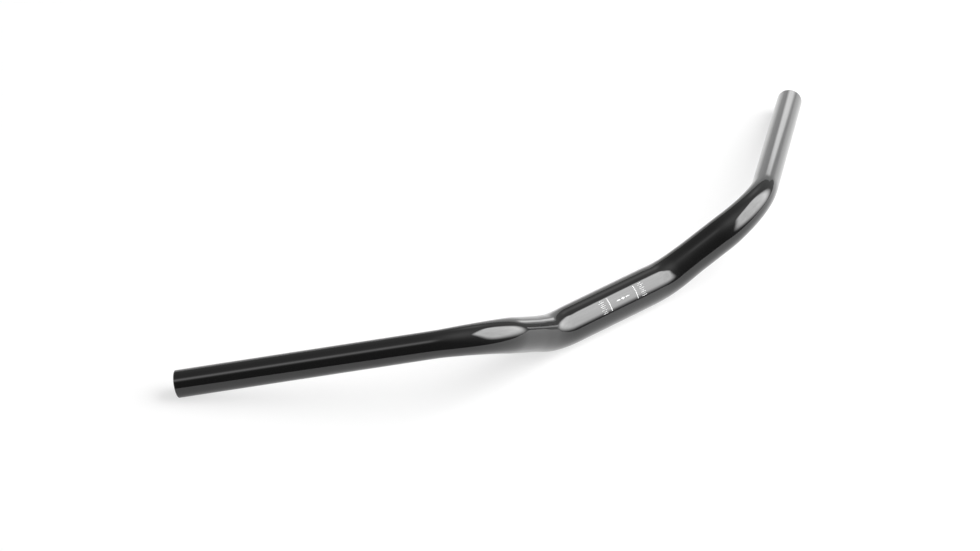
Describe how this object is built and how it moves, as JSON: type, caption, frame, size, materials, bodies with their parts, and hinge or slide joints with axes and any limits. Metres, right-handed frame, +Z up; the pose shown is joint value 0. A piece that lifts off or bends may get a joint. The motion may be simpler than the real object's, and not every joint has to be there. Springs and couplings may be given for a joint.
{
  "type": "cruiser handlebar",
  "caption": "Bicycle handlebar: one bent, tapered tube with a thick straight clamp section, short risers and long grips swept back, open at both ends.",
  "frame": {"origin": "middle of the stem clamp section, on the axis of the tube", "axes": "+X along the clamp section to the rider's left, +Y towards the rider, +Z up as the bar lies at rest on its clamp section and the rims of both ends"},
  "size_m": [0.6728, 0.1733, 0.0687],
  "materials": {
    "gloss_black_coat": "gloss black coat on aluminium"
  },
  "bodies": {
    "root": {"handlebar_tube": "gloss_black_coat"}
  },
  "joints": []
}
